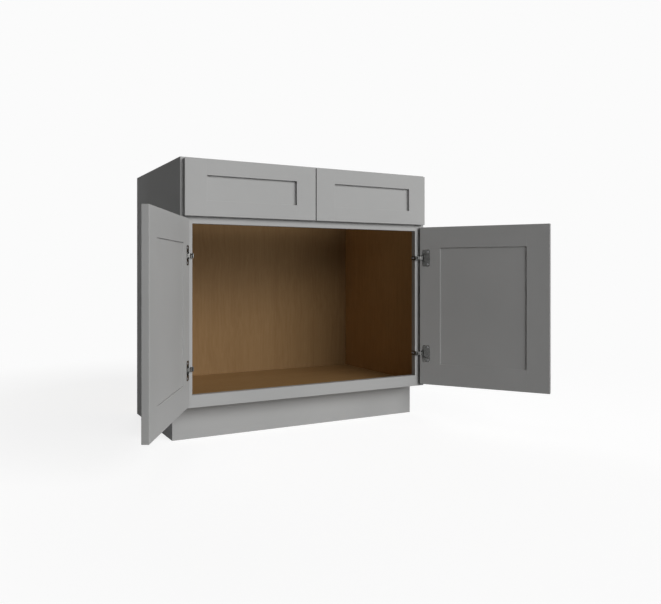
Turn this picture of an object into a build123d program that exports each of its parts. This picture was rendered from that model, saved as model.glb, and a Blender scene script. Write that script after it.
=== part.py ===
from build123d import *
import math
import os

# Sink base cabinet with two false drawer fronts and two hinged doors. Millimetres.
# The origin is on the floor, at mid width, in the plane of the wall behind the cabinet.
# +X runs to the cabinet's right as seen from the room, +Y into the wall, +Z up.

# Cabinet box
cabinet_width = 914.4
cabinet_height = 876.3
cabinet_depth = 533.4  # wall to the front of the face frame
side_thickness = 12.7
deck_thickness = 12.7
back_thickness = 6.35
dado_depth = 6.0  # how far the deck is housed in each side
rabbet_depth = 6.35  # how far the back is housed in each side
nailer_thickness = 12.7
top_nailer_height = 88.9
low_nailer_height = 88.9
toe_height = 114.3
toe_recess = 82.5  # front of the face frame to the toe board
toe_thickness = 12.7
sleeper_thickness = 12.7

# Face frame
frame_member_width = 38.1
frame_thickness = 19.05
drawer_opening_height = 124.5

# Doors and false drawer fronts, each a panel in a grooved frame
leaf_thickness = 19.05
leaf_panel_thickness = 6.35
panel_setback = 9.525  # a leaf's outer face to its panel
groove_depth = 10.0
panel_play = 1.0  # room left for the panel at the bottom of its groove
edge_ease = 1.2
side_reveal = 8.7
top_reveal = 5.3
bottom_reveal = 8.0
middle_gap = 3.2  # between the left and right leaves
front_to_door_gap = 8.9
front_height = 173.6
front_stile_width = 70.0
front_rail_width = 48.0
door_stile_width = 75.0
door_rail_width = 75.0

# Cleats that hold the false fronts
cleat_width = 44.0
cleat_thickness = 12.7
cleat_overlap = 13.0  # lap behind the rails above and below the drawer opening
cleat_inset = 25.0  # frame member to the cleat's centre line
cleat_screw_inset = 22.0  # rail to screw
cleat_screw_bite = 10.0  # length of screw in the false front

# Worktop corner braces
brace_leg = 70.0
brace_nose = 12.0
brace_web = 5.0
brace_flange = 4.0
brace_height = 25.0
brace_hole_inset = 24.0
brace_hole_radius = 3.0
brace_screw_inset = 48.0
brace_screw_bite = 9.0

# Hinges. Across the door they are measured from its hinge edge, inwards.
# From front to back they are measured from the front of the face frame, forwards.
door_gap = 2.3  # frame to closed door
hinge_inset = 111.0  # door end to hinge centre
right_door_angle = 124.8
left_door_angle = 119.9
link_turn_share = 0.2533  # link turns back by this share of the door's turn
cup_radius = 17.5
cup_edge_distance = 3.0
cup_depth = 12.0
cup_wall = 0.8
cup_notch_depth = 2.0  # in the cup's lip, where the link passes over it
cup_notch_clearance = 0.6
cup_flange_thickness = 1.0
cup_flange_start = 11.0
cup_flange_width = 27.0
cup_flange_height = 60.0
cup_flange_corner = 6.0
cup_screw_inset = 30.0
cup_screw_spacing = 45.0
cup_screw_bite = 10.0
cup_screw_head_height = 0.8  # low, to stay clear of the frame when the door shuts
cup_pin_inset = 7.6
cup_pin_depth = 5.0  # below the door's inner face
arm_pin_inset = 22.0
arm_pin_forward = 9.6
pin_radius = 1.2
link_width = 10.0
link_thickness = 1.5
link_rise = 3.8  # arch of the link above the line between its pins
knuckle_radius = 2.1
arm_thickness = 2.0
arm_cheek = 1.5
arm_side_clearance = 0.2
arm_head_radius = 2.3
arm_base_height = 15.0
arm_base_back = 18.0
arm_base_front = 1.0
arm_strip_end = 7.0
arm_screw_insets = (5.5, 14.0)
arm_screw_bite = 16.0

# Screws and fits
screw_radius = 1.9
screw_head_radius = 3.2
screw_head_height = 1.8
recess_width = 0.9
recess_depth = 1.1
running_clearance = 0.05
seat_clearance = 0.04

half_width = cabinet_width / 2
front_y = -cabinet_depth
frame_back_y = front_y + frame_thickness
inner_x = half_width - side_thickness
back_y = -back_thickness
nailer_y = back_y - nailer_thickness
deck_z = (toe_height, toe_height + deck_thickness)
toe_y = front_y + toe_recess
opening_x = half_width - frame_member_width
top_rail_z = (cabinet_height - frame_member_width, cabinet_height)
middle_rail_top = top_rail_z[0] - drawer_opening_height
middle_rail_z = (middle_rail_top - frame_member_width, middle_rail_top)
bottom_rail_z = (toe_height, toe_height + frame_member_width)
leaf_x = (middle_gap / 2, half_width - side_reveal)
hinge_edge = leaf_x[1]
front_z = (cabinet_height - top_reveal - front_height, cabinet_height - top_reveal)
door_z = (toe_height + bottom_reveal, front_z[0] - front_to_door_gap)
hinge_heights = {"lower": door_z[0] + hinge_inset, "upper": door_z[1] - hinge_inset}
cup_centre_inset = cup_edge_distance + cup_radius
stile_edge_inset = frame_member_width - side_reveal
cup_pin_forward = door_gap + cup_pin_depth
screw_bore = screw_radius + seat_clearance


def block(x, y, z):
    size = Box(x[1] - x[0], y[1] - y[0], z[1] - z[0])
    return Pos((x[0] + x[1]) / 2, (y[0] + y[1]) / 2, (z[0] + z[1]) / 2) * size


def rod(centre, direction, radius, length):
    # A round bar that starts at centre and runs along direction.
    plane = Plane(origin=centre, z_dir=direction)
    return extrude(plane * Circle(radius), amount=length)


def screw(seat, direction, length, head_height=screw_head_height):
    # A round-headed screw that bears on its seat, driven along direction, with a cross recess.
    plane = Plane(origin=seat, z_dir=direction)
    shank = Pos(0, 0, length / 2) * Cylinder(screw_radius, length)
    point = Pos(0, 0, length + screw_radius / 2) * Cone(screw_radius, 0.3, screw_radius)
    head = Pos(0, 0, -head_height / 2) * Cylinder(screw_head_radius, head_height)
    head = fillet(head.edges().sort_by(Axis.Z)[0], head_height * 0.6)
    body = head + shank + point
    for turn in (0, 90):
        slot = Box(screw_head_radius * 1.2, recess_width, 2 * recess_depth)
        body -= Pos(0, 0, -head_height) * Rot(0, 0, turn) * slot
    return plane.location * body


def screw_hole(seat, direction, length, material):
    return material - rod(seat, direction, screw_bore, length + 2 * screw_radius)


def mirrored(shape):
    return mirror(shape, about=Plane.YZ)


# Cabinet box

def right_side():
    panel = block((inner_x, half_width), (frame_back_y, 0), (0, cabinet_height))
    panel -= block((inner_x, half_width), (frame_back_y, toe_y), (0, toe_height))
    panel -= block((inner_x, inner_x + dado_depth), (frame_back_y, back_y), deck_z)
    rabbet_x = (inner_x, inner_x + rabbet_depth)
    return panel - block(rabbet_x, (back_y, 0), (0, cabinet_height))


def floor_deck():
    reach = inner_x + dado_depth
    return block((-reach, reach), (frame_back_y, back_y), deck_z)


def back_panel():
    reach = inner_x + rabbet_depth
    return block((-reach, reach), (back_y, 0), (0, cabinet_height))


def back_nailer(low, high):
    return block((-inner_x, inner_x), (nailer_y, back_y), (low, high))


def toe_board():
    return block((-inner_x, inner_x), (toe_y, toe_y + toe_thickness), (0, toe_height))


def deck_sleeper():
    half = sleeper_thickness / 2
    return block((-half, half), (toe_y + toe_thickness, nailer_y), (0, toe_height))


# Face frame

def frame_rail(z):
    return block((-opening_x, opening_x), (front_y, frame_back_y), z)


def right_frame_stile():
    stile = block((opening_x, half_width), (front_y, frame_back_y), (toe_height, cabinet_height))
    outer_arris = stile.edges().filter_by(Axis.Z).group_by(Axis.Y)[0].sort_by(Axis.X)[-1]
    return fillet(outer_arris, edge_ease)


def frame_mullion():
    half = frame_member_width / 2
    return block((-half, half), (front_y, frame_back_y), (middle_rail_z[1], top_rail_z[0]))


# Doors and false fronts: two grooved stiles, two tenoned rails and a panel

def framed_leaf(z, back, stile_width, rail_width):
    x = leaf_x
    y = (back - leaf_thickness, back)
    blank = block(x, y, z)
    blank = fillet(blank.edges(), edge_ease)
    panel_y = y[0] + panel_setback
    groove_y = (panel_y, panel_y + leaf_panel_thickness)
    inner = (x[0] + stile_width, x[1] - stile_width)
    tenon_x = (inner[0] - groove_depth, inner[1] + groove_depth)
    low_z = (z[0], z[0] + rail_width)
    high_z = (z[1] - rail_width, z[1])
    pieces = {}
    inner_stile = blank & block((x[0], inner[0]), y, z)
    pieces["inner_stile"] = inner_stile - block((tenon_x[0], inner[0]), groove_y, z)
    outer_stile = blank & block((inner[1], x[1]), y, z)
    pieces["outer_stile"] = outer_stile - block((inner[1], tenon_x[1]), groove_y, z)
    grooves = {
        "bottom_rail": (low_z, (low_z[1] - groove_depth, low_z[1])),
        "top_rail": (high_z, (high_z[0], high_z[0] + groove_depth)),
    }
    for name, (rail_z, groove_z) in grooves.items():
        rail = (blank & block(inner, y, rail_z)) + block(tenon_x, groove_y, rail_z)
        pieces[name] = rail - block(tenon_x, groove_y, groove_z)
    reach = groove_depth - panel_play
    panel_x = (inner[0] - reach, inner[1] + reach)
    panel_z = (low_z[1] - reach, high_z[0] + reach)
    pieces["panel"] = block(panel_x, groove_y, panel_z)
    return pieces


# Cleats: each laps the rails behind a drawer opening and pulls a false front to the frame

cleat_centres = (frame_member_width / 2 + cleat_inset, opening_x - cleat_inset)
cleat_screw_heights = (middle_rail_z[1] + cleat_screw_inset, top_rail_z[0] - cleat_screw_inset)
cleat_back_y = frame_back_y + cleat_thickness
cleat_screw_length = cleat_thickness + frame_thickness + cleat_screw_bite


def cleat_screw_seats():
    return [(x, cleat_back_y, z) for x in cleat_centres for z in cleat_screw_heights]


def front_cleats():
    cleats = []
    z = (middle_rail_z[1] - cleat_overlap, top_rail_z[0] + cleat_overlap)
    for centre in cleat_centres:
        x = (centre - cleat_width / 2, centre + cleat_width / 2)
        cleat = block(x, (frame_back_y, cleat_back_y), z)
        for seat in cleat_screw_seats():
            cleat = screw_hole(seat, (0, -1, 0), cleat_screw_length, cleat)
        cleats += [cleat, mirrored(cleat)]
    return cleats


def front_cleat_screws():
    screws = [screw(seat, (0, -1, 0), cleat_screw_length) for seat in cleat_screw_seats()]
    return screws + [mirrored(one) for one in screws]


# Worktop corner braces, drawn for the right rear corner with legs along -X and -Y

def corner_brace(corner_y, inward):
    # inward is -1 for the rear corner and +1 for the front one.
    def spot(across, along):
        return (inner_x - across, corner_y + inward * along)

    outline = [spot(0, 0), spot(brace_leg, 0), spot(brace_leg, brace_nose)]
    outline += [spot(brace_nose, brace_leg), spot(0, brace_leg)]
    web = make_face(Polyline(*outline, close=True))
    web = extrude(web, amount=brace_web, dir=(0, 0, 1))
    brace = Pos(0, 0, cabinet_height - brace_web) * web
    z = (cabinet_height - brace_height, cabinet_height)
    side_y = sorted((corner_y, corner_y + inward * brace_leg))
    wall_y = sorted((corner_y, corner_y + inward * brace_flange))
    brace += block((inner_x - brace_flange, inner_x), side_y, z)
    brace += block((inner_x - brace_leg, inner_x), wall_y, z)
    x, y = spot(brace_hole_inset, brace_hole_inset)
    brace -= rod((x, y, z[0]), (0, 0, 1), brace_hole_radius, brace_height)
    for seat, direction in brace_screw_seats(corner_y, inward):
        brace = screw_hole(seat, direction, brace_flange, brace)
    return brace


def brace_screw_seats(corner_y, inward):
    z = cabinet_height - (brace_web + brace_height) / 2
    to_side = (inner_x - brace_flange, corner_y + inward * brace_screw_inset, z)
    to_wall = (inner_x - brace_screw_inset, corner_y + inward * brace_flange, z)
    return [(to_side, (1, 0, 0)), (to_wall, (0, -inward, 0))]


brace_corners = ((nailer_y, -1), (frame_back_y, 1))
brace_screw_length = brace_flange + brace_screw_bite - screw_radius


def all_brace_screw_seats():
    return [pair for corner in brace_corners for pair in brace_screw_seats(*corner)]


def brace_bored(material):
    # Screw holes for both right-hand braces, and for both left-hand ones.
    for seat, direction in all_brace_screw_seats():
        hole = rod(seat, direction, screw_bore, brace_flange + brace_screw_bite + screw_radius)
        material = material - hole - mirrored(hole)
    return material


# Hinges, drawn for the right-hand door while it is shut

def plan(inset, forward):
    # A point in plan, from its distance inside the door's edge and forward of the frame.
    return Vector(hinge_edge - inset, front_y - forward)


arm_pin = plan(arm_pin_inset, arm_pin_forward)
cup_pin = plan(cup_pin_inset, cup_pin_forward)


def upright(sketch, low, high):
    return Pos(0, 0, low) * extrude(sketch, amount=high - low, dir=(0, 0, 1))


def pin_hole(centre, clearance, length, z):
    start = (centre.X, centre.Y, z - length)
    return rod(start, (0, 0, 1), pin_radius + clearance, 2 * length)


def strap(points, width):
    # A bar of even width with round ends along straight runs, in plan.
    face = Sketch()
    for start, end in zip(points, points[1:]):
        run = end - start
        bar = Pos(*((start + end) / 2)) * Rot(0, 0, math.degrees(math.atan2(run.Y, run.X)))
        face += bar * Rectangle(run.length, width)
        face += Pos(*start) * Circle(width / 2)
        face += Pos(*end) * Circle(width / 2)
    return face


def arm_screw_seats(z):
    seat_inset = stile_edge_inset + arm_thickness
    spots = [plan(seat_inset, -inset) for inset in arm_screw_insets]
    return [(spot.X, spot.Y, z) for spot in spots]


def hinge_arm(z):
    inner = stile_edge_inset + arm_thickness
    half = link_width / 2 + arm_side_clearance + arm_cheek
    x = (hinge_edge - inner, hinge_edge - stile_edge_inset)
    base_y = (front_y + arm_base_front, front_y + arm_base_back)
    strip_y = (front_y - arm_strip_end, front_y + arm_base_back)
    arm = block(x, base_y, (z - arm_base_height / 2, z + arm_base_height / 2))
    arm += block(x, strip_y, (z - half, z + half))
    root = plan(inner - arm_head_radius, arm_strip_end - arm_head_radius)
    cheek = strap([arm_pin, root], 2 * arm_head_radius)
    for low in (z - half, z + half - arm_cheek):
        arm += upright(cheek, low, low + arm_cheek)
    arm -= pin_hole(arm_pin, seat_clearance, arm_base_height, z)
    for seat in arm_screw_seats(z):
        arm = screw_hole(seat, (1, 0, 0), arm_thickness, arm)
    return arm


def hinge_link(z):
    run = arm_pin - cup_pin
    rise = Vector(-run.Y, run.X).normalized() * link_rise
    middle = (arm_pin + cup_pin) / 2 + rise
    path = ThreePointArc(cup_pin, middle, arm_pin)
    spans = [path @ (step / 8) for step in range(9)]
    face = strap(spans, link_thickness)
    for pin in (arm_pin, cup_pin):
        face += Pos(*pin) * Circle(knuckle_radius)
    link = upright(face, z - link_width / 2, z + link_width / 2)
    for pin in (arm_pin, cup_pin):
        link -= pin_hole(pin, running_clearance, link_width, z)
    return link


def arm_pin_rod(z):
    half = link_width / 2 + arm_side_clearance + arm_cheek
    return rod((arm_pin.X, arm_pin.Y, z - half), (0, 0, 1), pin_radius, 2 * half)


def cup_pin_rod(z):
    # The pin ends where its outer side meets the outside of the cup's round wall.
    aside = cup_centre_inset - cup_pin_inset + pin_radius
    half = math.sqrt(cup_radius**2 - aside**2)
    return rod((cup_pin.X, cup_pin.Y, z - half), (0, 0, 1), pin_radius, 2 * half)


def cup_centre(z):
    return (hinge_edge - cup_centre_inset, front_y - door_gap, z)


def hinge_cup(z):
    centre = cup_centre(z)
    cup = rod(centre, (0, -1, 0), cup_radius, cup_depth)
    flange = RectangleRounded(cup_flange_width, cup_flange_height, cup_flange_corner)
    middle = hinge_edge - cup_flange_start - cup_flange_width / 2
    plane = Plane(origin=(middle, front_y - door_gap, z), x_dir=(1, 0, 0), z_dir=(0, 1, 0))
    cup += extrude(plane * flange, amount=cup_flange_thickness)
    mouth = (centre[0], centre[1] + cup_flange_thickness, z)
    hollow = cup_flange_thickness + cup_depth - cup_wall
    cup -= rod(mouth, (0, -1, 0), cup_radius - cup_wall, hollow)
    notch_y = (centre[1] - cup_notch_depth, centre[1])
    half = link_width / 2 + cup_notch_clearance
    cup -= block((centre[0], hinge_edge), notch_y, (z - half, z + half))
    cup -= pin_hole(cup_pin, seat_clearance, cup_radius, z)
    for seat in cup_screw_seats(z):
        cup = screw_hole(seat, (0, -1, 0), cup_flange_thickness, cup)
    return cup


def cup_screw_seats(z):
    x = hinge_edge - cup_screw_inset
    y = front_y - door_gap + cup_flange_thickness
    return [(x, y, z + side * cup_screw_spacing / 2) for side in (-1, 1)]


cup_screw_length = cup_flange_thickness + cup_screw_bite - screw_radius


def cup_screw(seat):
    return screw(seat, (0, -1, 0), cup_screw_length, cup_screw_head_height)


def bored_door_stile(stile):
    for z in hinge_heights.values():
        reach = cup_depth + seat_clearance
        stile -= rod(cup_centre(z), (0, -1, 0), cup_radius + seat_clearance, reach)
        for seat in cup_screw_seats(z):
            stile = screw_hole(seat, (0, -1, 0), cup_screw_length, stile)
    return stile


def bored_frame_stile(stile):
    for z in hinge_heights.values():
        for seat in arm_screw_seats(z):
            stile = screw_hole(seat, (1, 0, 0), arm_screw_bite, stile)
    return brace_bored(stile)


# Opening a shut right-hand door: the link turns about the arm pin, the door about the cup pin

def turned_link(shape, angle):
    place = Pos(*arm_pin) * Rot(0, 0, -link_turn_share * angle) * Pos(*-arm_pin)
    return place * shape


def turned_door(shape, angle):
    reach = cup_pin - arm_pin
    moved_pin = arm_pin + reach.rotate(Axis.Z, -link_turn_share * angle)
    return Pos(*moved_pin) * Rot(0, 0, angle) * Pos(*-cup_pin) * shape


def moved_solids(solids, turn, angle, left):
    moved = [turn(one, angle) for one in solids]
    return [mirrored(one) for one in moved] if left else moved


# Every node, by name, as a list of solids

def cabinet_nodes():
    side = brace_bored(right_side())
    stile = bored_frame_stile(right_frame_stile())
    top_nailer_z = (cabinet_height - top_nailer_height, cabinet_height)
    nodes = {
        "right_side": [side],
        "left_side": [mirrored(side)],
        "floor_deck": [floor_deck()],
        "back_panel": [back_panel()],
        "back_top_nailer": [brace_bored(back_nailer(*top_nailer_z))],
        "back_bottom_nailer": [back_nailer(toe_height - low_nailer_height, toe_height)],
        "toe_board": [toe_board()],
        "deck_sleeper": [deck_sleeper()],
        "right_frame_stile": [stile],
        "left_frame_stile": [mirrored(stile)],
        "frame_top_rail": [brace_bored(frame_rail(top_rail_z))],
        "frame_middle_rail": [frame_rail(middle_rail_z)],
        "frame_bottom_rail": [frame_rail(bottom_rail_z)],
        "frame_mullion": [frame_mullion()],
        "front_cleats": front_cleats(),
        "front_cleat_screws": front_cleat_screws(),
    }
    braces = [corner_brace(*corner) for corner in brace_corners]
    nodes["corner_braces"] = braces + [mirrored(one) for one in braces]
    screws = [screw(seat, way, brace_screw_length) for seat, way in all_brace_screw_seats()]
    nodes["corner_brace_screws"] = screws + [mirrored(one) for one in screws]
    return nodes


def front_nodes():
    nodes = {}
    pieces = framed_leaf(front_z, front_y, front_stile_width, front_rail_width)
    for name, piece in pieces.items():
        if name.endswith("stile"):
            for seat in cleat_screw_seats():
                piece = screw_hole(seat, (0, -1, 0), cleat_screw_length, piece)
        nodes["right_front_" + name] = [piece]
        nodes["left_front_" + name] = [mirrored(piece)]
    return nodes


def fixed_hinge_nodes():
    nodes = {}
    screws = []
    pins = []
    for level, z in hinge_heights.items():
        arm = hinge_arm(z)
        nodes["right_" + level + "_hinge_arm"] = [arm]
        nodes["left_" + level + "_hinge_arm"] = [mirrored(arm)]
        screws += [screw(seat, (1, 0, 0), arm_screw_bite) for seat in arm_screw_seats(z)]
        pins.append(arm_pin_rod(z))
    nodes["hinge_arm_screws"] = screws + [mirrored(one) for one in screws]
    nodes["hinge_arm_pins"] = pins + [mirrored(one) for one in pins]
    return nodes


def door_nodes(side, angle):
    left = side == "left"
    nodes = {}
    pieces = framed_leaf(door_z, front_y - door_gap, door_stile_width, door_rail_width)
    pieces["hinge_stile"] = bored_door_stile(pieces.pop("outer_stile"))
    pieces["free_stile"] = pieces.pop("inner_stile")
    groups = {"_door_" + name: [piece] for name, piece in pieces.items()}
    heights = hinge_heights.values()
    seats = [seat for z in heights for seat in cup_screw_seats(z)]
    groups["_cup_screws"] = [cup_screw(seat) for seat in seats]
    groups["_cup_pins"] = [cup_pin_rod(z) for z in heights]
    for level, z in hinge_heights.items():
        groups["_" + level + "_hinge_cup"] = [hinge_cup(z)]
        link = moved_solids([hinge_link(z)], turned_link, angle, left)
        nodes[side + "_" + level + "_hinge_link"] = link
    for name, solids in groups.items():
        nodes[side + name] = moved_solids(solids, turned_door, angle, left)
    return nodes


def write_nodes():
    nodes = cabinet_nodes() | front_nodes() | fixed_hinge_nodes()
    nodes |= door_nodes("right", right_door_angle)
    nodes |= door_nodes("left", left_door_angle)
    os.makedirs("parts", exist_ok=True)
    for name, solids in nodes.items():
        shape = solids[0] if len(solids) == 1 else Compound(children=solids)
        export_step(shape, "parts/" + name + ".step")
    print(len(nodes), "nodes written")


write_nodes()
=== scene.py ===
import bpy
import math
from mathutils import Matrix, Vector


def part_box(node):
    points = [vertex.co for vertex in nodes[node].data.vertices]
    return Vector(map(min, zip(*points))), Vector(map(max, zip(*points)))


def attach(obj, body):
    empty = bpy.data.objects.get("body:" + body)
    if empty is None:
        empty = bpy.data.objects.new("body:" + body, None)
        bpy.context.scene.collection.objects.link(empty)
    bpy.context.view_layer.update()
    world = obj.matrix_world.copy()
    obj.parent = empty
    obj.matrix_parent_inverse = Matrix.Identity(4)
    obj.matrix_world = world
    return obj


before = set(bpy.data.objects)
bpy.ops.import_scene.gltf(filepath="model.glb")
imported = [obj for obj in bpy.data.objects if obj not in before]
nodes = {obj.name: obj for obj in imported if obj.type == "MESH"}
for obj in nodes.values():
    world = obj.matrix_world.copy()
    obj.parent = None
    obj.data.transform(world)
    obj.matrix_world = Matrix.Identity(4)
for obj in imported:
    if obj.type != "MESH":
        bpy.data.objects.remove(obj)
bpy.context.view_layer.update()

bpy.context.scene.view_settings.view_transform = "Standard"
print("frame loaded,", len(nodes), "nodes")


# Small helpers for node trees

def feed(tree, socket, value):
    # Links another node's output, or sets a plain value.
    if isinstance(value, bpy.types.NodeSocket):
        tree.links.new(value, socket)
    else:
        socket.default_value = value


def addNode(tree, kind, inputs=None, **settings):
    node = tree.nodes.new(kind)
    for name, value in settings.items():
        setattr(node, name, value)
    for name, value in (inputs or {}).items():
        feed(tree, node.inputs[name], value)
    return node


def calculate(tree, operation, first, second=0.5, third=0.5):
    inputs = {0: first, 1: second, 2: third}
    return addNode(tree, "ShaderNodeMath", inputs, operation=operation).outputs[0]


def combine(tree, operation, first, second):
    inputs = {0: first, 1: second}
    return addNode(tree, "ShaderNodeVectorMath", inputs, operation=operation).outputs[0]


def scaleVector(tree, vector, factor):
    inputs = {0: vector, "Scale": factor}
    return addNode(tree, "ShaderNodeVectorMath", inputs, operation="SCALE").outputs[0]


def axesOf(tree, vector):
    return addNode(tree, "ShaderNodeSeparateXYZ", {0: vector}).outputs


def blendColours(tree, factor, first, second):
    inputs = {0: factor, 6: first, 7: second}
    return addNode(tree, "ShaderNodeMix", inputs, data_type="RGBA", clamp_factor=True).outputs[2]


def blendNumbers(tree, factor, first, second):
    inputs = {0: factor, 2: first, 3: second}
    return addNode(tree, "ShaderNodeMix", inputs, data_type="FLOAT").outputs[0]


def rangeOf(tree, value, span, into=(0.0, 1.0)):
    inputs = {"Value": value, "From Min": span[0], "From Max": span[1]}
    inputs |= {"To Min": into[0], "To Max": into[1]}
    return addNode(tree, "ShaderNodeMapRange", inputs).outputs[0]


def noise(tree, vector, scale, detail=2.0, **more):
    inputs = {"Vector": vector, "Scale": scale, "Detail": detail}
    inputs |= {name.title(): value for name, value in more.items()}
    return addNode(tree, "ShaderNodeTexNoise", inputs).outputs[0]


noiseSpan = (0.3, 0.7)  # where most values of a noise pattern lie


def colour(red, green, blue):
    return (red, green, blue, 1.0)


def shaderGroup(name, inputs, outputs):
    group = bpy.data.node_groups.new(name, "ShaderNodeTree")
    for socketName, kind, default in inputs:
        socket = group.interface.new_socket(name=socketName, in_out="INPUT", socket_type=kind)
        if default is not None:
            socket.default_value = default
    for socketName, kind in outputs:
        group.interface.new_socket(name=socketName, in_out="OUTPUT", socket_type=kind)
    given = group.nodes.new("NodeGroupInput").outputs
    return group, given, group.nodes.new("NodeGroupOutput")


# Shader groups that several finishes share. Pattern scales are per metre.

grainLook = {
    "bendScale": 4.5,
    "bend": 0.03,  # how far the grain lines wander aside
    "curlScale": 34.0,
    "curlTwist": 2.2,
    "pores": (0.56, 0.68),  # part of the fibre pattern that shows as pores
}


def makeBoardGrain():
    # Broad figure, finger-wide streaks, curl across the grain and hair-fine fibres.
    # Along squeezes the pattern on the axis that the grain runs along.
    look = grainLook
    group, given, out = shaderGroup(
        "boardGrain",
        [
            ("Vector", "NodeSocketVector", None),
            ("Along", "NodeSocketVector", (1.0, 1.0, 0.05)),
            ("Figure Scale", "NodeSocketFloat", 9.0),
            ("Streak Scale", "NodeSocketFloat", 75.0),
            ("Fibre Scale", "NodeSocketFloat", 420.0),
            ("Warp", "NodeSocketFloat", 0.6),
        ],
        [(name, "NodeSocketFloat") for name in ("Figure", "Streak", "Curl", "Fibre", "Pore")],
    )
    half = (0.5, 0.5, 0.5)
    squeezed = combine(group, "MULTIPLY", given["Vector"], given["Along"])
    inputs = {"Vector": given["Vector"], "Scale": look["bendScale"], "Detail": 2.0}
    wander = addNode(group, "ShaderNodeTexNoise", inputs)
    push = combine(group, "SUBTRACT", wander.outputs["Color"], half)
    bent = combine(group, "ADD", squeezed, scaleVector(group, push, look["bend"]))
    across = combine(group, "MULTIPLY", given["Vector"], combine(group, "POWER", given["Along"], half))
    fibre = noise(group, bent, given["Fibre Scale"], detail=4.0, roughness=0.65)
    found = {
        "Figure": noise(group, bent, given["Figure Scale"], detail=3.0, distortion=given["Warp"]),
        "Streak": noise(group, bent, given["Streak Scale"], detail=3.0, roughness=0.6),
        "Curl": noise(group, across, look["curlScale"], detail=3.0, distortion=look["curlTwist"]),
        "Fibre": fibre,
        "Pore": rangeOf(group, fibre, look["pores"]),
    }
    for name, socket in found.items():
        group.links.new(socket, out.inputs[name])
    return group


edgeLook = {
    "turned": (0.995, 0.75),  # cosine of the bend, from plain face to full edge
    "patchScale": 38.0,
    "patches": (0.35, 0.7),
}


def makeSoftEdge():
    # Rounds sharp arrises for the light, and marks them where hands and cloths rub. On plated metal
    # the mark also carries a painted edge highlight.
    look = edgeLook
    group, given, out = shaderGroup(
        "softEdge",
        [
            ("Radius", "NodeSocketFloat", 0.001),
            ("Wear", "NodeSocketFloat", 0.5),
            ("Vector", "NodeSocketVector", None),
        ],
        [("Normal", "NodeSocketVector"), ("Worn", "NodeSocketFloat")],
    )
    bevel = addNode(group, "ShaderNodeBevel", {"Radius": given["Radius"]}, samples=6)
    face = addNode(group, "ShaderNodeNewGeometry")
    inputs = {0: bevel.outputs[0], 1: face.outputs["Normal"]}
    match = addNode(group, "ShaderNodeVectorMath", inputs, operation="DOT_PRODUCT")
    turned = rangeOf(group, match.outputs["Value"], look["turned"])
    patches = noise(group, given["Vector"], look["patchScale"], detail=3.0)
    broken = rangeOf(group, patches, look["patches"])
    worn = calculate(group, "MULTIPLY", calculate(group, "MULTIPLY", turned, broken), given["Wear"])
    group.links.new(bevel.outputs[0], out.inputs["Normal"])
    group.links.new(worn, out.inputs["Worn"])
    return group


plyLook = {
    "veneer": 0.0018,  # thickness of one veneer
    "waveScale": 60.0,
    "wave": 0.0006,
    "glueLine": (0.42, 0.49),  # share of a veneer, from its middle out
    "dark": (0.42, 0.28, 0.16),
    "pale": (0.62, 0.47, 0.30),
    "glue": (0.20, 0.12, 0.07),
    "glueShows": 0.7,
}


def makePlyLayers():
    # Veneers seen on the edge of a plywood board, counted across its thickness.
    look = plyLook
    group, given, out = shaderGroup(
        "plyLayers",
        [
            ("Depth", "NodeSocketFloat", 0.0),
            ("Veneer", "NodeSocketFloat", look["veneer"]),
            ("Vector", "NodeSocketVector", None),
        ],
        [("Tone", "NodeSocketFloat"), ("Glue", "NodeSocketFloat")],
    )
    jitter = noise(group, given["Vector"], look["waveScale"])
    shift = calculate(group, "MULTIPLY", calculate(group, "SUBTRACT", jitter, 0.5), look["wave"])
    place = calculate(group, "DIVIDE", calculate(group, "ADD", given["Depth"], shift), given["Veneer"])
    number = calculate(group, "FLOOR", place)
    tone = addNode(group, "ShaderNodeTexWhiteNoise", {"W": number}, noise_dimensions="1D")
    centred = calculate(group, "SUBTRACT", calculate(group, "FRACT", place), 0.5)
    glue = rangeOf(group, calculate(group, "ABSOLUTE", centred), look["glueLine"])
    group.links.new(tone.outputs[0], out.inputs["Tone"])
    group.links.new(glue, out.inputs["Glue"])
    return group


dustLook = {
    "slope": (0.2, 1.0),  # how far up a face looks, from clean to dusty
    "cloudScale": 9.0,
}


def makeFineDust():
    # A faint uneven film that gathers on faces that look upwards.
    look = dustLook
    group, given, out = shaderGroup(
        "fineDust",
        [("Vector", "NodeSocketVector", None), ("Amount", "NodeSocketFloat", 0.1)],
        [("Film", "NodeSocketFloat")],
    )
    face = addNode(group, "ShaderNodeNewGeometry")
    level = rangeOf(group, axesOf(group, face.outputs["Normal"])["Z"], look["slope"])
    clouds = noise(group, given["Vector"], look["cloudScale"], detail=6.0)
    film = calculate(group, "MULTIPLY", calculate(group, "MULTIPLY", level, clouds), given["Amount"])
    group.links.new(film, out.inputs["Film"])
    return group


boardGrain = makeBoardGrain()
softEdge = makeSoftEdge()
plyLayers = makePlyLayers()
fineDust = makeFineDust()
print("shader groups made")


def placeGroup(tree, group, inputs):
    return addNode(tree, "ShaderNodeGroup", inputs, node_tree=group).outputs


def newFinish(name, turn=0.0):
    # A material with its shader, and Object coordinates turned so that X runs along the board.
    material = bpy.data.materials.new(name)
    material.use_nodes = True
    tree = material.node_tree
    shader = tree.nodes["Principled BSDF"]
    place = addNode(tree, "ShaderNodeTexCoord")
    inputs = {"Vector": place.outputs["Object"], "Rotation": (0, 0, -turn)}
    mapping = addNode(tree, "ShaderNodeMapping", inputs)
    return material, tree, shader, mapping.outputs[0], place.outputs["Normal"]


def finishSurface(tree, shader, base, roughness, height, normal, strength=1.0):
    # Height is in metres.
    tree.links.new(base, shader.inputs["Base Color"])
    feed(tree, shader.inputs["Roughness"], roughness)
    inputs = {"Height": height, "Strength": strength, "Distance": 1.0, "Normal": normal}
    bump = addNode(tree, "ShaderNodeBump", inputs)
    tree.links.new(bump.outputs[0], shader.inputs["Normal"])


# Grey paint on doors, fronts, face frame and toe board

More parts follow.
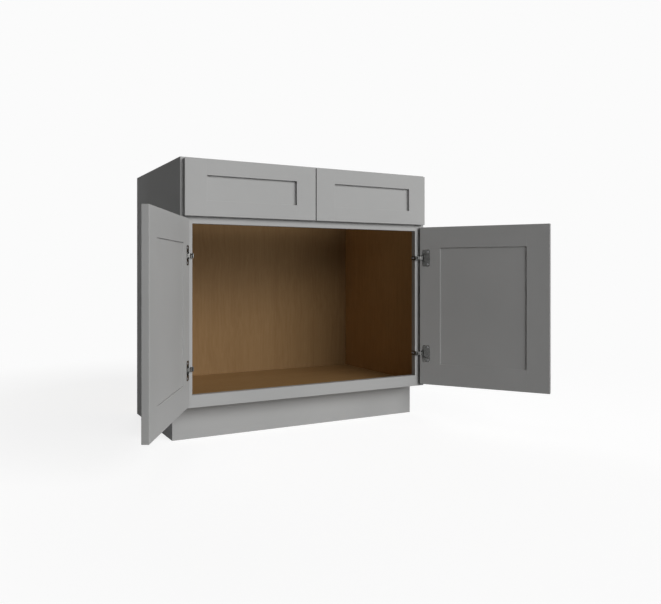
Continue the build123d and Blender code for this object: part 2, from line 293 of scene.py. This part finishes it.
paintLook = {
    "colour": (0.398, 0.398, 0.394),
    "shade": (0.371, 0.372, 0.368),  # in the slow clouds of the sprayed coat
    "cloudScale": 3.2,
    "clouds": (0.35, 0.68),
    "rubbed": (0.50, 0.50, 0.49),
    "rubbedShine": 0.2,  # how much smoother a rubbed edge is
    "roughness": (0.54, 0.63),
    "gloss": 0.16,
    "peelScale": 520.0,  # orange peel, per metre
    "peelDepth": 0.00003,
    "figureScale": 14.0,
    "figureShows": 0.10,  # how much the board's figure shows through
    "grainDepth": 0.00004,
    "edgeRadius": 0.0009,
    "wear": 0.35,
    "dust": 0.10,
    "dustColour": (0.55, 0.54, 0.51),
}
grainUpright = (1.0, 1.0, 0.045)
grainLevel = (0.045, 1.0, 1.0)
grainDeep = (1.0, 0.045, 1.0)  # from front to back


def paintParts(tree, vector, along):
    look = paintLook
    shade = colour(*look["shade"])
    inputs = {"Vector": vector, "Along": along, "Figure Scale": look["figureScale"]}
    grain = placeGroup(tree, boardGrain, inputs)
    inputs = {"Radius": look["edgeRadius"], "Wear": look["wear"], "Vector": vector}
    edge = placeGroup(tree, softEdge, inputs)
    dust = placeGroup(tree, fineDust, {"Vector": vector, "Amount": look["dust"]})
    clouds = noise(tree, vector, look["cloudScale"], detail=4.0)
    mottle = rangeOf(tree, clouds, look["clouds"])
    base = blendColours(tree, mottle, shade, colour(*look["colour"]))
    streak = rangeOf(tree, grain["Figure"], noiseSpan, (0.0, look["figureShows"]))
    base = blendColours(tree, streak, base, shade)
    base = blendColours(tree, edge["Worn"], base, colour(*look["rubbed"]))
    base = blendColours(tree, dust["Film"], base, colour(*look["dustColour"]))
    roughness = rangeOf(tree, clouds, noiseSpan, look["roughness"])
    shine = calculate(tree, "MULTIPLY", edge["Worn"], look["rubbedShine"])
    roughness = calculate(tree, "SUBTRACT", roughness, shine)
    peel = calculate(tree, "MULTIPLY", noise(tree, vector, look["peelScale"]), look["peelDepth"])
    fibres = calculate(tree, "MULTIPLY", grain["Fibre"], look["grainDepth"])
    height = calculate(tree, "ADD", fibres, peel)
    return base, roughness, height, edge["Normal"]


def paintedWood(name, along, turn=0.0):
    material, tree, shader, vector, _ = newFinish(name, turn)
    finishSurface(tree, shader, *paintParts(tree, vector, along))
    shader.inputs["Specular IOR Level"].default_value = paintLook["gloss"]
    return material


# Clear-coated maple veneer inside the box, and bare plywood on hidden boards

mapleLook = {
    "pale": (0.445, 0.270, 0.116),
    "deep": (0.338, 0.189, 0.070),
    "backTone": 0.51,  # the back sheet is drawn darker: painted shade for the dim inside of the box
    # the deck is drawn darker too: painted shade for the dim inside of the box
    "deckTone": 0.72,
    "scales": {"Figure Scale": 13.0, "Streak Scale": 150.0, "Warp": 1.2},
    "broadScale": 2.1,
    "shares": {"Figure": 0.28, "Streak": 0.46, "Curl": 0.18, "broad": 0.20},
    "figure": (0.40, 0.78),  # from pale wood to deep
    "pore": (0.18, 0.100, 0.040),
    "poreShows": 0.20,
    "roughness": (0.52, 0.64),
    "gloss": 0.15,
    "fibreDepth": 0.00005,
    "edgeRadius": 0.0004,
    "rawFrom": (-0.0012, -0.0006),  # the uncoated rear face of the back sheet, along Y
}
rawLook = {
    "pale": (0.60, 0.46, 0.30),
    "deep": (0.50, 0.36, 0.22),
    "roughness": 0.72,
    "fibreStrength": 1.5,
    "edgeRadius": 0.0006,
}
facingSpan = (0.5, 0.8)  # from a board's edge to its face


def mapleParts(tree, vector, along, pale, deep):
    look = mapleLook
    grain = placeGroup(tree, boardGrain, {"Vector": vector, "Along": along} | look["scales"])
    broad = noise(tree, vector, look["broadScale"])
    figure = 0.0
    for name, share in look["shares"].items():
        pattern = broad if name == "broad" else grain[name]
        figure = calculate(tree, "MULTIPLY_ADD", pattern, share, figure)
    base = blendColours(tree, rangeOf(tree, figure, look["figure"]), colour(*pale), colour(*deep))
    pore = calculate(tree, "MULTIPLY", grain["Pore"], look["poreShows"])
    base = blendColours(tree, pore, base, colour(*look["pore"]))
    roughness = rangeOf(tree, grain["Fibre"], noiseSpan, look["roughness"])
    height = calculate(tree, "MULTIPLY", grain["Fibre"], look["fibreDepth"])
    return base, roughness, height


def plyEdge(tree, vector, depth):
    look = plyLook
    inputs = {"Depth": depth, "Veneer": look["veneer"], "Vector": vector}
    layers = placeGroup(tree, plyLayers, inputs)
    base = blendColours(tree, layers["Tone"], colour(*look["dark"]), colour(*look["pale"]))
    glue = calculate(tree, "MULTIPLY", layers["Glue"], look["glueShows"])
    return blendColours(tree, glue, base, colour(*look["glue"]))


def overPlyEdge(tree, vector, normal, thin, depth, base):
    # Keeps base on a board's two faces and shows its veneers on the edges.
    tilt = calculate(tree, "ABSOLUTE", axesOf(tree, normal)[thin])
    return blendColours(tree, rangeOf(tree, tilt, facingSpan), plyEdge(tree, vector, depth), base)


def mapleBoard(name, along, thin, tone, rawFrom=None):
    # thin is the axis across the board. rawFrom marks a hidden face, left uncoated.
    # tone darkens this copy of the maple; on the back sheet and deck it is painted shade
    material, tree, shader, vector, normal = newFinish(name)
    pale, deep = (tuple(tone * part for part in mapleLook[shade]) for shade in ("pale", "deep"))
    base, roughness, height = mapleParts(tree, vector, along, pale, deep)
    depth = axesOf(tree, vector)[thin]
    if rawFrom is not None:
        raw, _, _ = mapleParts(tree, vector, along, rawLook["pale"], rawLook["deep"])
        base = blendColours(tree, rangeOf(tree, depth, rawFrom), base, raw)
    base = overPlyEdge(tree, vector, normal, thin, depth, base)
    soft = placeGroup(tree, softEdge, {"Radius": mapleLook["edgeRadius"], "Vector": vector})
    finishSurface(tree, shader, base, roughness, height, soft["Normal"])
    shader.inputs["Specular IOR Level"].default_value = mapleLook["gloss"]
    return material


def rawPlywood(name, along, thin):
    look = rawLook
    material, tree, shader, vector, normal = newFinish(name)
    base, _, height = mapleParts(tree, vector, along, look["pale"], look["deep"])
    base = overPlyEdge(tree, vector, normal, thin, axesOf(tree, vector)[thin], base)
    soft = placeGroup(tree, softEdge, {"Radius": look["edgeRadius"], "Vector": vector})
    strength = look["fibreStrength"]
    finishSurface(tree, shader, base, look["roughness"], height, soft["Normal"], strength)
    return material


sideLook = {
    "forward": (-0.5, -0.9),  # a face that looks to the front is painted
    "skin": (0.0012, 0.0008),  # and so is what lies this near the outer face
}


def sidePanelFinish():
    # Paint outside and on the front edge of the toe notch, maple inside, veneers on other edges.
    material, tree, shader, vector, normal = newFinish("sidePanelFinish")
    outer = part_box("right_side")[1][0]
    pale, deep = mapleLook["pale"], mapleLook["deep"]
    paint, paintRough, paintHeight, softNormal = paintParts(tree, vector, grainUpright)
    maple, mapleRough, mapleHeight = mapleParts(tree, vector, grainUpright, pale, deep)
    across = calculate(tree, "ABSOLUTE", axesOf(tree, vector)["X"])
    inside = overPlyEdge(tree, vector, normal, "X", across, maple)
    forward = rangeOf(tree, axesOf(tree, normal)["Y"], sideLook["forward"])
    skin = rangeOf(tree, across, [outer - depth for depth in sideLook["skin"]])
    painted = calculate(tree, "MAXIMUM", forward, skin)
    base = blendColours(tree, painted, inside, paint)
    roughness = blendNumbers(tree, painted, mapleRough, paintRough)
    height = blendNumbers(tree, painted, mapleHeight, paintHeight)
    finishSurface(tree, shader, base, roughness, height, softNormal)
    shader.inputs["Specular IOR Level"].default_value = paintLook["gloss"]
    return material


# Metal and plastic

# Nickel and link colours are kept much darker than bare nickel: painted dark reflection of the studio.
# Each metal's bright edge colour is partly wear, partly a painted edge highlight.
nickelLook = {
    "colour": (0.125, 0.125, 0.121),
    "bright": (0.60, 0.60, 0.58),
    "roughness": (0.12, 0.32),
    "edgeRadius": 0.0003,
}
linkLook = {
    "colour": (0.18, 0.18, 0.175),
    "bright": (0.70, 0.70, 0.68),
    "roughness": (0.12, 0.32),
    "edgeRadius": 0.0002,
}
zincLook = {
    "colour": (0.30, 0.30, 0.31),
    "bright": (0.70, 0.70, 0.70),
    "roughness": (0.22, 0.42),
    "edgeRadius": 0.0002,
}
platingLook = {
    "dull": 0.6,  # of the metal's own colour, in its clouds
    "cloudScale": 160.0,
    "clouds": (0.36, 0.70),
    "scratchScale": 900.0,
    "scratchDepth": 0.00001,
    # how strongly edges take the bright colour: wear and painted edge highlight together
    "wear": 0.7,
}


def platedSteel(name, metal):
    look = platingLook
    material, tree, shader, vector, _ = newFinish(name)
    inputs = {"Radius": metal["edgeRadius"], "Wear": look["wear"], "Vector": vector}
    edge = placeGroup(tree, softEdge, inputs)
    clouds = rangeOf(tree, noise(tree, vector, look["cloudScale"], detail=4.0), look["clouds"])
    scratch = noise(tree, vector, look["scratchScale"], detail=3.0)
    dull = colour(*(look["dull"] * part for part in metal["colour"]))
    base = blendColours(tree, clouds, colour(*metal["colour"]), dull)
    # edges take the bright colour: partly wear, partly a painted edge highlight
    base = blendColours(tree, edge["Worn"], base, colour(*metal["bright"]))
    roughness = rangeOf(tree, scratch, noiseSpan, metal["roughness"])
    height = calculate(tree, "MULTIPLY", scratch, look["scratchDepth"])
    finishSurface(tree, shader, base, roughness, height, edge["Normal"])
    shader.inputs["Metallic"].default_value = 1.0
    return material


braceLook = {
    "colour": (0.62, 0.55, 0.42),
    "shade": (0.56, 0.49, 0.37),
    "rubbed": (0.74, 0.68, 0.56),
    "flowScale": 22.0,
    "flow": (0.35, 0.7),
    "grainScale": 900.0,
    "grainDepth": 0.00004,
    "roughness": (0.45, 0.60),
    "edgeRadius": 0.0005,
    "wear": 0.4,
}


def mouldedPlastic():
    look = braceLook
    material, tree, shader, vector, _ = newFinish("bracePlastic")
    inputs = {"Radius": look["edgeRadius"], "Wear": look["wear"], "Vector": vector}
    edge = placeGroup(tree, softEdge, inputs)
    spark = noise(tree, vector, look["grainScale"])
    flow = noise(tree, vector, look["flowScale"], detail=3.0, distortion=1.0)
    mottle = rangeOf(tree, flow, look["flow"])
    base = blendColours(tree, mottle, colour(*look["colour"]), colour(*look["shade"]))
    base = blendColours(tree, edge["Worn"], base, colour(*look["rubbed"]))
    roughness = rangeOf(tree, spark, noiseSpan, look["roughness"])
    height = calculate(tree, "MULTIPLY", spark, look["grainDepth"])
    finishSurface(tree, shader, base, roughness, height, edge["Normal"])
    return material


# Finishes laid on the nodes

def doorTurn(side):
    # Angle from the hinge stile to the free stile, so that a pattern follows an open door.
    middles = []
    for stile in ("hinge", "free"):
        low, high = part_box(side + "_door_" + stile + "_stile")
        middles.append((Vector(low) + Vector(high)) / 2)
    run = middles[1] - middles[0]
    return math.atan2(run.y, run.x)


finishes = {
    "upright": paintedWood("paintUpright", grainUpright),
    "level": paintedWood("paintLevel", grainLevel),
    "side": sidePanelFinish(),
    # The back sheet and deck get darker copies of the maple: painted shade for the inside of the box.
    "back": mapleBoard("mapleBack", grainUpright, "Y", mapleLook["backTone"], mapleLook["rawFrom"]),
    "deck": mapleBoard("mapleDeck", grainLevel, "Z", mapleLook["deckTone"]),
    "batten": rawPlywood("battenPlywood", grainLevel, "Y"),
    "cleat": rawPlywood("cleatPlywood", grainUpright, "Y"),
    "sleeper": rawPlywood("sleeperPlywood", grainDeep, "X"),
    "nickel": platedSteel("hingeNickel", nickelLook),
    "link": platedSteel("linkNickel", linkLook),
    "zinc": platedSteel("screwZinc", zincLook),
    "brace": mouldedPlastic(),
}
for side in ("left", "right"):
    turn = doorTurn(side)
    finishes[side + "Upright"] = paintedWood(side + "DoorUpright", grainUpright, turn)
    finishes[side + "Level"] = paintedWood(side + "DoorLevel", grainLevel, turn)

ownFinish = {
    "left_side": "side",
    "right_side": "side",
    "back_panel": "back",
    "floor_deck": "deck",
    "back_top_nailer": "batten",
    "back_bottom_nailer": "batten",
    "front_cleats": "cleat",
    "deck_sleeper": "sleeper",
    "corner_braces": "brace",
}


def finishOf(name):
    if name in ownFinish:
        return ownFinish[name]
    if "screws" in name:
        return "zinc"
    if "hinge_link" in name or "pins" in name:
        return "link"
    if "hinge_arm" in name or "hinge_cup" in name:
        return "nickel"
    if "_door_" in name:
        return name.split("_")[0] + ("Level" if name.endswith("rail") else "Upright")
    return "upright" if name.endswith(("stile", "mullion")) else "level"


for name in nodes:
    slots = nodes[name].data.materials
    slots.clear()
    slots.append(finishes[finishOf(name)])
print("finishes laid on", len(nodes), "nodes")


# Wire staples that hold the back sheet to its top nailer, in rows on the nailer's inner face

stapleLook = {
    "crown": 0.0112,
    "wire": 0.0012,
    "wireSides": 10,
    "proud": 0.0005,  # how far the crown stands out of the wood
    "columns": 8,
    "rows": 2,
    "clearOfEnds": 0.095,  # keeps off the corner braces
    "clearOfEdges": 0.018,
    "wander": 0.0035,
    "tilt": 7.0,  # degrees
    "seed": 11,
}


def stapleTree():
    tree = bpy.data.node_groups.new("stapleRows", "GeometryNodeTree")
    wanted = {
        "Crown": "NodeSocketFloat",
        "Wire": "NodeSocketFloat",
        "Wire Sides": "NodeSocketInt",
        "Columns": "NodeSocketInt",
        "Rows": "NodeSocketInt",
        "Width": "NodeSocketFloat",
        "Height": "NodeSocketFloat",
        "Middle": "NodeSocketVector",
        "Wander": "NodeSocketVector",
        "Tilt": "NodeSocketVector",
        "Seed": "NodeSocketInt",
        "Metal": "NodeSocketMaterial",
    }
    for name, kind in wanted.items():
        tree.interface.new_socket(name=name, in_out="INPUT", socket_type=kind)
    tree.interface.new_socket(name="Geometry", in_out="OUTPUT", socket_type="NodeSocketGeometry")
    given = tree.nodes.new("NodeGroupInput").outputs

    def geometry(kind, inputs):
        return addNode(tree, "GeometryNode" + kind, inputs).outputs[0]

    def randomVector(reach, more):
        seed = calculate(tree, "ADD", given["Seed"], more)
        inputs = {0: scaleVector(tree, reach, -1.0), 1: reach, "Seed": seed}
        return addNode(tree, "FunctionNodeRandomValue", inputs, data_type="FLOAT_VECTOR").outputs[0]

    sizes = {"Size X": given["Width"], "Size Y": given["Height"]}
    counts = {"Vertices X": given["Columns"], "Vertices Y": given["Rows"]}
    grid = geometry("MeshGrid", sizes | counts)
    stand = {"Translation": given["Middle"], "Rotation": (math.radians(90), 0.0, 0.0)}
    spots = geometry("Transform", {"Geometry": grid} | stand)
    stray = randomVector(given["Wander"], 0.0)
    spots = geometry("SetPosition", {"Geometry": spots, "Offset": stray})
    half = calculate(tree, "MULTIPLY", given["Crown"], 0.5)
    left, right = (
        addNode(tree, "ShaderNodeCombineXYZ", {"X": calculate(tree, "MULTIPLY", half, way)}).outputs[0]
        for way in (-1, 1)
    )
    line = geometry("CurvePrimitiveLine", {"Start": left, "End": right})
    radius = calculate(tree, "MULTIPLY", given["Wire"], 0.5)
    ring = geometry("CurvePrimitiveCircle", {"Resolution": given["Wire Sides"], "Radius": radius})
    crown = geometry("CurveToMesh", {"Curve": line, "Profile Curve": ring, "Fill Caps": True})
    tilt = randomVector(given["Tilt"], 5.0)
    rows = geometry("InstanceOnPoints", {"Points": spots, "Instance": crown, "Rotation": tilt})
    solid = geometry("RealizeInstances", {"Geometry": rows})
    done = geometry("SetMaterial", {"Geometry": solid, "Material": given["Metal"]})
    out = tree.nodes.new("NodeGroupOutput")
    tree.links.new(done, out.inputs["Geometry"])
    return tree


def growPiece(name, tree, values, body):
    # Runs a node tree once and keeps its result as a plain mesh that rides on one body.
    seed = bpy.data.objects.new(name + "Seed", bpy.data.meshes.new(name + "Seed"))
    bpy.context.scene.collection.objects.link(seed)
    modifier = seed.modifiers.new(name, "NODES")
    modifier.node_group = tree
    for item in tree.interface.items_tree:
        if item.in_out == "INPUT":
            modifier[item.identifier] = values[item.name]
    graph = bpy.context.evaluated_depsgraph_get()
    mesh = bpy.data.meshes.new_from_object(seed.evaluated_get(graph), depsgraph=graph)
    seed.modifiers.remove(modifier)
    bpy.data.objects.remove(seed)
    piece = bpy.data.objects.new(name, mesh)
    bpy.context.scene.collection.objects.link(piece)
    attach(piece, body)
    return piece


def makeNailerStaples():
    look = stapleLook
    low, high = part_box("back_top_nailer")
    sink = look["wire"] / 2 - look["proud"]
    values = {
        "Crown": look["crown"],
        "Wire": look["wire"],
        "Wire Sides": look["wireSides"],
        "Columns": look["columns"],
        "Rows": look["rows"],
        "Width": high[0] - low[0] - 2 * look["clearOfEnds"],
        "Height": high[2] - low[2] - 2 * look["clearOfEdges"],
        "Middle": ((low[0] + high[0]) / 2, low[1] + sink, (low[2] + high[2]) / 2),
        "Wander": (look["wander"], 0.0, look["wander"]),
        "Tilt": (0.0, math.radians(look["tilt"]), 0.0),
        "Seed": look["seed"],
        "Metal": finishes["zinc"],
    }
    return growPiece("nailerStaples", stapleTree(), values, "cabinet")


staples = makeNailerStaples()
print("staples made,", len(staples.data.polygons), "faces")


# Floor, background and lamps

stageLook = {
    "floorSize": 16.0,
    "white": 0.965,
    "floorPaint": (0.35, 0.35, 0.35),
    "floorGlow": 0.815,  # the least that the floor shows where the cabinet's shadow lies
    "bounce": (0.36, 0.36, 0.36),  # what the floor sends back on to the cabinet
    "middle": (0.0, -0.3, 0.0),
    "shadowReach": (1.2, 2.0),  # metres from the middle over which the floor fades to background
}


def cameraOrMirror(tree):
    seen = addNode(tree, "ShaderNodeLightPath").outputs
    direct = calculate(tree, "MAXIMUM", seen["Is Camera Ray"], seen["Is Glossy Ray"])
    return calculate(tree, "MAXIMUM", direct, seen["Is Transmission Ray"])


def glowOf(tree, kind, strength):
    inputs = {"Color": colour(1, 1, 1), "Strength": strength}
    return addNode(tree, kind, inputs).outputs[0]


def makeFloor():
    look = stageLook
    half = look["floorSize"] / 2
    mesh = bpy.data.meshes.new("floor")
    corners = [(-half, -half, 0), (half, -half, 0), (half, half, 0), (-half, half, 0)]
    mesh.from_pydata(corners, [], [(0, 1, 2, 3)])
    floor = bpy.data.objects.new("floor", mesh)
    bpy.context.scene.collection.objects.link(floor)
    material = bpy.data.materials.new("floorPaint")
    material.use_nodes = True
    tree = material.node_tree
    tree.nodes.clear()
    place = addNode(tree, "ShaderNodeTexCoord").outputs["Object"]
    inputs = {"Vector": place, "Location": [-part for part in look["middle"]]}
    centred = addNode(tree, "ShaderNodeMapping", inputs)
    away = addNode(tree, "ShaderNodeVectorMath", {0: centred.outputs[0]}, operation="LENGTH")
    plain = rangeOf(tree, away.outputs["Value"], look["shadowReach"])
    # Seen directly: pale paint that takes the shadow near the cabinet, and plain white further out.
    matt = addNode(tree, "ShaderNodeBsdfDiffuse", {"Color": colour(*look["floorPaint"])})
    glow = glowOf(tree, "ShaderNodeEmission", look["floorGlow"])
    pale = addNode(tree, "ShaderNodeAddShader", {0: matt.outputs[0], 1: glow}).outputs[0]
    white = glowOf(tree, "ShaderNodeEmission", look["white"])
    shown = addNode(tree, "ShaderNodeMixShader", {0: plain, 1: pale, 2: white}).outputs[0]
    dim = addNode(tree, "ShaderNodeBsdfDiffuse", {"Color": colour(*look["bounce"])}).outputs[0]
    inputs = {0: cameraOrMirror(tree), 1: dim, 2: shown}
    mixed = addNode(tree, "ShaderNodeMixShader", inputs)
    out = addNode(tree, "ShaderNodeOutputMaterial")
    tree.links.new(mixed.outputs[0], out.inputs["Surface"])
    mesh.materials.append(material)


def makeWorld(level):
    world = bpy.data.worlds.new("studio")
    bpy.context.scene.world = world
    world.use_nodes = True
    tree = world.node_tree
    tree.nodes.clear()
    soft = glowOf(tree, "ShaderNodeBackground", level)
    plain = glowOf(tree, "ShaderNodeBackground", stageLook["white"])
    mixed = addNode(tree, "ShaderNodeMixShader", {0: cameraOrMirror(tree), 1: soft, 2: plain})
    out = addNode(tree, "ShaderNodeOutputWorld")
    tree.links.new(mixed.outputs[0], out.inputs["Surface"])


# Angles are in degrees, azimuth from straight ahead to the right, and distances in metres.
# A lamp's level is how bright a white card that faces it would look.
lampLook = {
    "key": {
        "azimuth": 19.0,
        "elevation": 19.0,
        "distance": 14.0,
        "wide": 17.0,
        "high": 8.5,
        "level": 1.07,
    },
    "behind": {
        "azimuth": 165.0,
        "elevation": 12.0,
        "distance": 9.0,
        "wide": 5.0,
        "high": 5.0,
        "level": 0.45,
    },
    "world": 0.012,
    "aim": (0.0, -0.27, 0.45),
}


def makeLamp(name):
    look = lampLook[name]
    azimuth = math.radians(look["azimuth"])
    elevation = math.radians(look["elevation"])
    flat = math.cos(elevation)
    away = Vector((math.sin(azimuth) * flat, -math.cos(azimuth) * flat, math.sin(elevation)))
    data = bpy.data.lights.new(name, "AREA")
    data.shape = "ELLIPSE"
    data.size = look["wide"]
    data.size_y = look["high"]
    data.energy = look["level"] * math.pi**2 * look["distance"] ** 2
    lamp = bpy.data.objects.new(name, data)
    bpy.context.scene.collection.objects.link(lamp)
    lamp.location = Vector(lampLook["aim"]) + away * look["distance"]
    lamp.rotation_euler = away.to_track_quat("Z", "Y").to_euler()


makeFloor()
makeWorld(lampLook["world"])
for lampName in ("key", "behind"):
    makeLamp(lampName)
print("floor, background and lamps ready")


# Camera, where the photograph was taken from. Pixels are those of a picture 661 wide and 604 high.

cameraLook = {
    "fromMiddle": -1.060,  # metres to the right of the cabinet's middle
    "fromFrame": 1.953,  # metres in front of the face frame
    "height": 0.5308,
    "turn": 27.9,  # degrees to the right of straight ahead
    "focalPixels": 666.5,
    "centrePixel": (306.6, 271.0),
    "pictureSize": (661, 604),
    "sensor": 36.0,
}


def makeCamera():
    look = cameraLook
    wide, high = look["pictureSize"]
    right, down = look["centrePixel"]
    data = bpy.data.cameras.new("camera")
    data.sensor_width = look["sensor"]
    data.lens = look["focalPixels"] / wide * look["sensor"]
    data.shift_x = (wide / 2 - right) / wide
    data.shift_y = -(high / 2 - down) / wide
    camera = bpy.data.objects.new("camera", data)
    bpy.context.scene.collection.objects.link(camera)
    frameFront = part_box("frame_top_rail")[0][1]
    camera.location = (look["fromMiddle"], frameFront - look["fromFrame"], look["height"])
    camera.rotation_euler = (math.radians(90), 0.0, -math.radians(look["turn"]))
    bpy.context.scene.camera = camera


makeCamera()
print("camera set")
